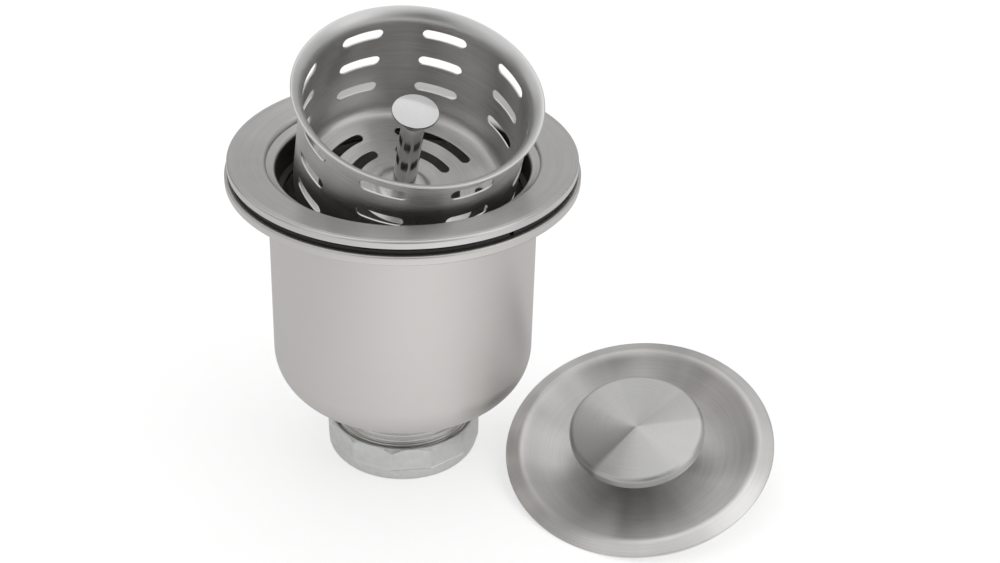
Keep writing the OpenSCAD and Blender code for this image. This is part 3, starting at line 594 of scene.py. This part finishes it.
# The flat sheet's grid: where it is cut open, steps round, rows, steps in the bend, least distance of two rows,
# room left round a slot, and radius within which every second column is left out
SEAM, SHEET_STEPS, SHEET_ROWS, BEND_ROWS, ROW_ROOM, SLOT_ROOM, SPARSE_R = rad(85.0), 288, 52, 8, 0.35, 0.45, 22


def sheet_point(s, theta, off):
    """The point at arc length s on the sheet's inside face, moved outward by off."""
    if s <= S_FLOOR:
        r, z, nr, nz = s, B_T - B_H, 0.0, 1.0
    elif s <= S_BEND:
        a = (s - S_FLOOR) / (B_BEND - B_T)
        nr, nz = -math.sin(a), math.cos(a)
        r, z = S_FLOOR - (B_BEND - B_T) * nr, B_BEND - B_H - (B_BEND - B_T) * nz
    else:
        r, z, nr, nz = B_R - B_T, B_BEND - B_H + (s - S_BEND), -1.0, 0.0
    r, z = r - nr * off, z - nz * off
    return r * math.cos(theta), r * math.sin(theta), z


def wall_slot(depth, centre, grow):
    """Outline of a wall slot as (angle, arc length), with round ends; grow widens it."""
    half, w = (SLOT_L - SLOT_W) / 2, SLOT_W / 2 + grow
    points = []
    for sign, start in ((1, -90), (-1, 90)):
        points += [(sign * half + u, v) for u, v in arc(0, 0, w, start, start + 180, SLOT_END_STEPS)]
    points = dense(points + [points[0]], 1.1)[:-1]
    middle = S_BEND + (B_H - B_BEND) - depth
    return [(rad(centre) + u / B_R, middle + v) for u, v in points]


def floor_slot(r, start, grow):
    """Outline of a floor slot: part of a ring, with round ends."""
    n, steps, w = SLOT_END_STEPS, FLOOR_SLOT_STEPS, FLOOR_W / 2 + grow
    a0, a1 = rad(start), rad(start + FLOOR_SPAN)
    points = [(a0 + (a1 - a0) * i / steps, r + w) for i in range(steps + 1)]
    for end, first in ((a1, a1), (a0, a0 + math.pi)):
        for i in range(1, n):
            b = first + math.pi * i / n
            x, y = r * math.cos(end) + w * math.cos(b), r * math.sin(end) + w * math.sin(b)
            points.append((around(math.atan2(y, x), end), math.hypot(x, y)))
        if end == a1:
            points += [(a1 + (a0 - a1) * i / steps, r - w) for i in range(steps + 1)]
    return points


def all_slots(grow):
    """The outlines of every slot, each within the turn that starts at the seam."""
    out = [wall_slot(SLOT_FIRST + row * SLOT_STEP, SLOT_TURN + i * 360 / SLOT_COLUMNS, grow)
           for row in range(SLOT_ROWS) for i in range(SLOT_COLUMNS)]
    out += [floor_slot(r, FLOOR_TURN + i * 90, grow) for r in FLOOR_RINGS for i in range(4)]
    turns = [TAU * math.floor((sum(p[0] for p in o) / len(o) - SEAM) / TAU) for o in out]
    return [[(t - k, s) for t, s in o] for o, k in zip(out, turns)]


def crosses(x, y, outline):
    """Whether a point lies inside an outline."""
    inside = False
    for (x0, y0), (x1, y1) in zip(outline, outline[-1:] + outline[:-1]):
        if (y0 > y) != (y1 > y) and x < (x1 - x0) * (y - y0) / (y1 - y0) + x0:
            inside = not inside
    return inside


def with_boxes(outlines):
    return [(o, min(p[0] for p in o), max(p[0] for p in o), min(p[1] for p in o), max(p[1] for p in o))
            for o in outlines]


def in_a_slot(t, s, boxed):
    return any(t0 <= t <= t1 and s0 <= s <= s1 and crosses(t, s, o) for o, t0, t1, s0, s1 in boxed)


def sheet_rows():
    """Arc lengths of the grid's rows, with rows where the bend starts and ends and even ones between."""
    fixed = [S_FLOOR + (S_BEND - S_FLOOR) * k / BEND_ROWS for k in range(BEND_ROWS + 1)]
    even = [S_START + (S_WALL - S_START) * i / SHEET_ROWS for i in range(SHEET_ROWS + 1)]
    return sorted(fixed + [v for v in even if min(abs(v - f) for f in fixed) > ROW_ROOM])


def flat_sheet():
    """The sheet cut into triangles while flat: its points, triangles, slot loops and two borders."""
    thetas = [SEAM + TAU * i / SHEET_STEPS for i in range(SHEET_STEPS + 1)]
    rows = sheet_rows()
    near = with_boxes(all_slots(BEVEL + SLOT_ROOM))
    points, edges, borders = [], [], {"low": [], "high": [], "left": [], "right": []}
    for k, s in enumerate(rows):
        for i, t in enumerate(thetas):
            sides = [name for name, here in (("low", k == 0), ("high", k == len(rows) - 1),
                                             ("left", i == 0), ("right", i == SHEET_STEPS)) if here]
            sparse = s < SPARSE_R and i % 2 == 1
            if sides or not (sparse or in_a_slot(t, s, near)):
                for name in sides:
                    borders[name].append(len(points))
                points.append((t * B_R, s))
    for line in borders.values():
        edges += list(zip(line, line[1:]))
    outlines = all_slots(BEVEL)
    loops = []
    for o in outlines:
        start = len(points)
        points += [(t * B_R, s) for t, s in o]
        loops.append(range(start, len(points)))
        edges += [(start + i, start + (i + 1) % len(o)) for i in range(len(o))]
    made, _, triangles, origins, _, _ = delaunay_2d_cdt([Vector(p) for p in points], edges, [], 0, 1e-6)
    made = [(c[0] / B_R, c[1]) for c in made]
    index = {old: new for new, olds in enumerate(origins) for old in olds}
    holes = with_boxes(outlines)
    kept = [f for f in triangles
            if not in_a_slot(sum(made[i][0] for i in f) / 3, sum(made[i][1] for i in f) / 3, holes)]
    weld = {index[b]: index[a] for a, b in zip(borders["left"], borders["right"])}
    kept = [tuple(weld.get(i, i) for i in f) for f in kept]
    loops = [[index[i] for i in loop] for loop in loops]
    low, high = ([index[i] for i in borders[name]][:SHEET_STEPS] for name in ("low", "high"))
    return made, kept, loops, low, high


def basket_mesh():
    """The bent sheet with its two faces, the slots' punched sides, the flared rim and the boss."""
    flat, triangles, loops, low, high = flat_sheet()
    n = len(flat)
    verts = [sheet_point(s, t, off) for off in (0.0, B_T) for t, s in flat]
    along = [(s, t) for _ in (0, 1) for t, s in flat]
    faces = list(triangles) + [tuple(n + i for i in reversed(f)) for f in triangles]

    def add_ring(points, s):
        start = len(verts)
        verts.extend(points)
        along.extend((s, math.atan2(p[1], p[0])) for p in points)
        return list(range(start, len(verts)))

    def join(a, b):
        faces.extend((a[i], a[(i + 1) % len(a)], b[(i + 1) % len(a)], b[i]) for i in range(len(a)))

    for loop, exact in zip(loops, all_slots(0.0)):
        middle = sum(s for t, s in exact) / len(exact)
        sides = [add_ring([sheet_point(s, t, off) for t, s in exact], middle)
                 for off in (BEVEL * BEVEL_SLANT, B_T - BEVEL * BEVEL_SLANT)]
        join(loop, sides[0])
        join(*sides)
        join(sides[1], [n + i for i in loop])

    def sweep(start, profile, end, s, step):
        last = start
        for r, z in profile:
            s += step
            ring = add_ring([(r * math.cos(t), r * math.sin(t), z) for t in turn], s)
            join(ring, last)
            last = ring
        join(end, last)

    turn = [SEAM + TAU * i / SHEET_STEPS for i in range(SHEET_STEPS)]
    rim_start = len(faces)
    middle_r = FLARE - B_T / 2
    end = 180 - math.degrees(math.acos((FLARE_MID - B_RIM_R + B_T / 2) / middle_r))
    edge = (FLARE_MID + middle_r * math.cos(rad(end)), FLARE_Z + middle_r * math.sin(rad(end)))
    rim = arc(FLARE_MID, FLARE_Z, FLARE, 180, end, 18)[1:] + arc(*edge, B_T / 2, end, end - 180, 8)[1:]
    rim += arc(FLARE_MID, FLARE_Z, FLARE - B_T, end, 180, 14)[1:-1]
    sweep(high, rim, [n + i for i in high], S_WALL, 0.3)
    rim_end = len(faces)
    floor, flat_top = B_T - B_H, BOSS_H + B_T - B_H
    boss = [(9.9, floor), (9.35, floor + 0.1), (8.8, floor + 0.45), (8.25, floor + 0.9), (7.6, flat_top),
            (6.4, flat_top), (SCREW_HOLE, flat_top), (SCREW_HOLE, flat_top - B_T), (6.4, flat_top - B_T),
            (7.3, flat_top - B_T), (8.1, flat_top - B_T - 0.6), (8.8, 0.1 - B_H), (9.6, -B_H)]
    sweep(low, boss, [n + i for i in low], S_START, -0.5)
    return verts, faces, along, (rim_start, rim_end)


def basket_piece():
    verts, faces, along, (rim_start, rim_end) = basket_mesh()
    ob = make("basket_sheet", verts, faces, along, IN_BASKET, sharp=34)
    for poly in ob.data.polygons[rim_start:rim_end]:
        poly.material_index = 1
    return ob


# Post, its collar and its knob
POST_R, KNOB_R, KNOB_TOP, KNOB_T, KNOB_DOME = 3.9, 7.6, -8.1, 1.5, 0.5
COLLAR_R, COLLAR_T, COLLAR_ROUND = 4.6, 1.0, 0.25
BOSS_TOP = B_T - B_H + BOSS_H
POST_TOP = KNOB_TOP - KNOB_T - COLLAR_T


def post_profile():
    side = dense([(POST_R, BOSS_TOP + 0.2), (POST_R, POST_TOP - 0.3)], 3.0)
    return [(0, BOSS_TOP), (POST_R, BOSS_TOP)] + side + [(3.7, POST_TOP - 0.1), (3.6, POST_TOP), (0, POST_TOP)]


def collar_profile():
    low, r, k = POST_TOP, COLLAR_R - COLLAR_ROUND, COLLAR_ROUND
    edge = arc(r, low + k, k, -90, 0, 3) + arc(r, low + COLLAR_T - k, k, 0, 90, 3)
    return [(0, low), (r - 0.15, low)] + edge + [(0, low + COLLAR_T)]


def post_knob_profile():
    dome_r = (KNOB_R ** 2 + KNOB_DOME ** 2) / (2 * KNOB_DOME)
    dome_a = math.degrees(math.asin(KNOB_R / dome_r))
    low = KNOB_TOP - KNOB_T
    out = [(0, low), (KNOB_R - 0.5, low)] + arc(KNOB_R - 0.42, low + 0.42, 0.42, -80, 20, 6)
    return out + arc(0, KNOB_TOP - dome_r, dome_r, 90 - dome_a * 0.985, 90, 10)[:-1] + [(0, KNOB_TOP)]


# Lid and its knob
CREST_R, CREST_H, DISH, DISH_FLAT_R, DISH_POWER, LID_HOLE = 40.75, 1.4, 7.2, 15.0, 2.6, 2.7
# Width over which slope and dish run together, and the lines across the dish
CREST_SOFT, DISH_LINES = 2.2, 62
L_KNOB_R, L_KNOB_TOP, L_KNOB_SIDE, L_KNOB_T, L_KNOB_ROUND, L_KNOB_FOOT = 22.9, 9.6, 4.2, 1.0, 1.7, 7.0


def dish_z(r):
    """Height of the dish's upper face, which runs on upward past the crest."""
    start_r, start_z = CREST_R - 1, CREST_H - 0.15
    k = (start_r - r) / (start_r - DISH_FLAT_R)
    return start_z - (DISH + start_z) * (1 - (1 - k) ** DISH_POWER)


def lid_top(r):
    """The sloping edge and the dish, run together in a soft crest."""
    slope = 0.1 + (CREST_H + 0.15) * (LID_R - 0.35 - r) / (LID_R - 0.35 - CREST_R)
    return float(soft_min(slope, dish_z(r), CREST_SOFT))


def lid_profile():
    radii = [float(r) for r in np.linspace(CREST_R + 2.4, DISH_FLAT_R, DISH_LINES)]
    out = [(LID_R, -LID_T), (LID_R, -0.25)] + arc(LID_R - 0.25, -0.22, 0.25, 0, 75, 5)
    out += [(float(r), lid_top(r)) for r in np.linspace(LID_R - 0.35, radii[0], 6)[:-1]]
    out += [(r, lid_top(r)) for r in radii]
    out += dense([(DISH_FLAT_R, -DISH), (LID_HOLE, -DISH)], 2.5)[1:] + [(LID_HOLE, -DISH - LID_T)]
    under = [r for r in radii if r <= CREST_R - 1]
    slant = 0.35 * LID_T / (under[0] - DISH_FLAT_R)
    out += [(r - slant * (r - DISH_FLAT_R), lid_top(r) - LID_T) for r in under[::-1]]
    return out + [(CREST_R + 0.3, CREST_H - 0.2 - LID_T), (LID_R - 0.9, -LID_T)]


def lid_knob_profile():
    top, low, r, t, k = L_KNOB_TOP, L_KNOB_TOP - L_KNOB_SIDE, L_KNOB_R, L_KNOB_T, L_KNOB_ROUND
    foot, inner = L_KNOB_FOOT, 2.55
    out = [(0, top), (0.6, top), (2, top), (5, top), (9, top), (14, top), (r - k - 0.8, top)]
    out += arc(r - k, top - k, k, 90, 0, 14) + dense([(r, top - k), (r, low + 0.4)], 0.8)[1:]
    out += arc(r - 0.35, low + 0.35, 0.35, 0, -90, 4) + [(r - t, low), (r - t, top - k)]
    out += arc(r - k - 0.2, top - k - 0.2, k - t + 0.2, 0, 90, 5)
    out += [(foot + 0.6, top - t)] + arc(foot + 0.5, top - t - 0.5, 0.5, 90, 180, 4)
    return out + [(foot, -DISH), (inner, -DISH), (inner, top - t - 2), (0, top - t - 2)]


def flange_piece():
    """The flange in one skin, with the inside of its neck in a duller, near-black metal whose dark colour is
    painted shade.
    """
    ob = loft("flange_skin", flange_profile(), n=320, sharp=38)
    for poly in ob.data.polygons:
        x, y, z = poly.center / MM
        if math.hypot(x, y) < NECK_R + 0.2 and z < FACE_Z - LEDGE_LOW - 0.1:
            poly.material_index = 1
    return ob


def build_pieces():
    dress(flange_piece(), "flange", [FLANGE, NECK_SHADE], "flange_steel", "sink_flange")
    dress(loft("grey_seal", seal_profile()), "seal", [GREY], "grey_rubber", "flange_seal")
    rings, angles = gasket_rings()
    dress(loft("black_gasket", rings, angles=angles), "cup", [BLACK], "black_rubber", "rubber_gasket")
    dress(loft("cup_skin", cup_profile(), n=320, sharp=40), "cup", [CUP], "cup_steel", "cup_shell", "cup_flange")
    theta = even_angles(240)
    dress(loft("outlet_thread", outlet_rings(theta), angles=theta, sharp=60), "cup", [THREAD], "bright_steel",
          "outlet_tube")
    theta = even_angles(480)
    dress(loft("nut_casting", nut_rings(theta), angles=theta, sharp=42), "nut", [ZINC], "nut_zinc", "slip_nut")
    dress(basket_piece(), "basket", [BASKET, RIM], "basket_steel", "basket_shell")
    for name, profile, material, node in (("post_bar", post_profile(), POST, "basket_post"),
                                          ("post_collar_ring", collar_profile(), POST, "post_collar"),
                                          ("post_knob_disc", post_knob_profile(), CHROME, "post_knob")):
        dress(loft(name, profile, IN_BASKET, 50, n=128), "basket", [material], "bright_steel", node)
    dress(loft("lid_dish", lid_profile(), IN_LID, 36, n=320), "lid", [LID], "lid_steel", "lid_plate")
    dress(loft("lid_knob_cap", lid_knob_profile(), IN_LID, 40, n=256), "lid", [KNOB], "lid_steel", "lid_knob")
    for node, material in (("friction_ring", FIBRE), ("cup_thread_ring", THREAD), ("outlet_crossbar", CHROME),
                           ("slip_washer", PLASTIC), ("post_lock_washer", CHROME), ("post_screw", CHROME),
                           ("lid_knob_stud", CHROME), ("lid_steel_washer", CHROME), ("lid_nut", CHROME),
                           ("lid_sealing_washer", BLACK)):
        paint(node, material)


# Floor: pale, with a glow for the camera and a fainter one for reflections, so that it comes out near white but
# keeps the shadow
FLOOR_HALF, FLOOR_COLOR, FLOOR_GLOW, FLOOR_SHEEN = 6, 0.86, 0.52, 0.1
# A painted pool of light in front of the strainer: a glow seen in reflections only
POOL_AT, POOL_R, POOL_SHEEN = (0.06, -0.28, 0.0), 0.34, 0.36


def build_floor():
    mesh, k = bpy.data.meshes.new("floor"), FLOOR_HALF
    mesh.from_pydata([(-k, -k, 0), (k, -k, 0), (k, k, 0), (-k, k, 0)], [], [(0, 1, 2, 3)])
    floor = bpy.data.objects.new("floor", mesh)
    bpy.context.scene.collection.objects.link(floor)
    m, tree, bsdf = new_material("floor")
    bsdf.inputs["Base Color"].default_value = shade((FLOOR_COLOR,) * 3, 1)
    bsdf.inputs["Roughness"].default_value = 0.9
    bsdf.inputs["Specular IOR Level"].default_value = 0.1
    path = tree.nodes.new("ShaderNodeLightPath")
    glow = tree.nodes.new("ShaderNodeEmission")
    seen = calc(tree, "MULTIPLY", path.outputs["Is Camera Ray"], FLOOR_GLOW)
    coord = tree.nodes.new("ShaderNodeTexCoord")
    away = tree.nodes.new("ShaderNodeVectorMath")
    away.operation = "DISTANCE"
    tree.links.new(coord.outputs["Object"], away.inputs[0])
    away.inputs[1].default_value = POOL_AT
    # Painted pool of light, fading out from its middle, seen in reflections only
    pool = span(tree, away.outputs["Value"], POOL_R, 0.0, FLOOR_SHEEN, FLOOR_SHEEN + POOL_SHEEN, "SMOOTHSTEP")
    mirrored = calc(tree, "MULTIPLY", path.outputs["Is Glossy Ray"], pool)
    put(tree, glow.inputs["Strength"], calc(tree, "ADD", seen, mirrored))
    both = tree.nodes.new("ShaderNodeAddShader")
    tree.links.new(bsdf.outputs[0], both.inputs[0])
    tree.links.new(glow.outputs[0], both.inputs[1])
    tree.links.new(both.outputs[0], tree.nodes["Material Output"].inputs["Surface"])
    mesh.materials.append(m)


# Studio: a plain pale surround with soft cards, each (direction, half-width in degrees, strength); a card is full
# over CARD_CORE of its width. Each softbox is (name, place, size, watts).
WORLD_BASE, CARD_CORE = 0.08, 0.35
WORLD_CARDS = [((0.0, 0.0, 1.0), 55, 0.549), ((0.0, 0.6, 0.8), 30, 0.074), ((-1.0, 0.0, 0.45), 50, 0.121),
               ((1.0, 0.0, 0.45), 50, 0.331), ((0.0, 1.0, 0.35), 50, 0.312), ((-0.7, 0.7, 0.7), 40, 0.119),
               ((0.7, 0.7, 0.7), 40, 0.116), ((-0.7, -0.7, 0.6), 40, 0.416), ((0.7, -0.7, 0.6), 40, 0.342),
               ((1.0, 0.25, 0.6), 22, 0.042), ((-1.0, 0.3, 0.6), 22, 0.301)]
SOFTBOXES = [("fill", (1.0, -0.6, 0.7), (0.8, 0.9), 0.59), ("top", (0.1, 0.3, 1.3), (1.1, 0.9), 0.86)]
AIM = (0.02, 0, 0.07)


def build_world():
    world = bpy.data.worlds.new("studio")
    bpy.context.scene.world = world
    world.use_nodes = True
    tree = world.node_tree
    tree.nodes.clear()
    coord = tree.nodes.new("ShaderNodeTexCoord")
    total = WORLD_BASE
    for direction, half_width, strength in WORLD_CARDS:
        dot = tree.nodes.new("ShaderNodeVectorMath")
        dot.operation = "DOT_PRODUCT"
        tree.links.new(coord.outputs["Generated"], dot.inputs[0])
        dot.inputs[1].default_value = Vector(direction).normalized()
        soft = span(tree, dot.outputs["Value"], math.cos(rad(half_width)), math.cos(rad(half_width * CARD_CORE)),
                    0.0, strength, "SMOOTHSTEP")
        total = calc(tree, "ADD", total, soft)
    light = tree.nodes.new("ShaderNodeBackground")
    put(tree, light.inputs["Strength"], total)
    white = tree.nodes.new("ShaderNodeBackground")
    path = tree.nodes.new("ShaderNodeLightPath")
    pick = tree.nodes.new("ShaderNodeMixShader")
    for node in (light, white):
        node.inputs["Color"].default_value = (1, 1, 1, 1)
    for socket, value in zip(pick.inputs, (path.outputs["Is Camera Ray"], light.outputs[0], white.outputs[0])):
        tree.links.new(value, socket)
    tree.links.new(pick.outputs[0], tree.nodes.new("ShaderNodeOutputWorld").inputs["Surface"])


def build_lamps():
    for name, at, (w, h), power in SOFTBOXES:
        data = bpy.data.lights.new(name, "AREA")
        data.shape = "RECTANGLE"
        data.size, data.size_y, data.energy = w, h, power
        lamp = bpy.data.objects.new(name, data)
        bpy.context.scene.collection.objects.link(lamp)
        lamp.location = at
        lamp.rotation_euler = (Vector(AIM) - Vector(at)).to_track_quat("-Z", "Y").to_euler()


# Camera, as the photograph was taken; the shift holds the frame where the photograph has it
CAMERA_AT = (0.4, -488.2, FACE_Z + 257.5)
CAMERA_TURN = (1.78, 29.97, 0.91)  # azimuth, elevation, roll
CAMERA_LENS, CAMERA_SHIFT = 61.1, (0.05, -0.065)


def build_camera():
    azimuth, elevation, roll = (rad(a) for a in CAMERA_TURN)
    forward = Vector((math.sin(azimuth) * math.cos(elevation), math.cos(azimuth) * math.cos(elevation),
                      -math.sin(elevation)))
    level = Vector((math.cos(azimuth), -math.sin(azimuth), 0.0))
    right = math.cos(roll) * level + math.sin(roll) * level.cross(forward)
    turn = Matrix((right, right.cross(forward), -forward)).transposed()
    data = bpy.data.cameras.new("camera")
    data.sensor_width = 36
    data.lens = CAMERA_LENS
    data.shift_x, data.shift_y = CAMERA_SHIFT
    data.clip_start, data.clip_end = 0.01, 50
    camera = bpy.data.objects.new("camera", data)
    bpy.context.scene.collection.objects.link(camera)
    camera.matrix_world = Matrix.Translation(Vector(CAMERA_AT) * MM) @ turn.to_4x4()
    bpy.context.scene.camera = camera


build_camera()
build_pieces()
build_floor()
build_world()
build_lamps()
bpy.context.scene.view_settings.view_transform = "Standard"
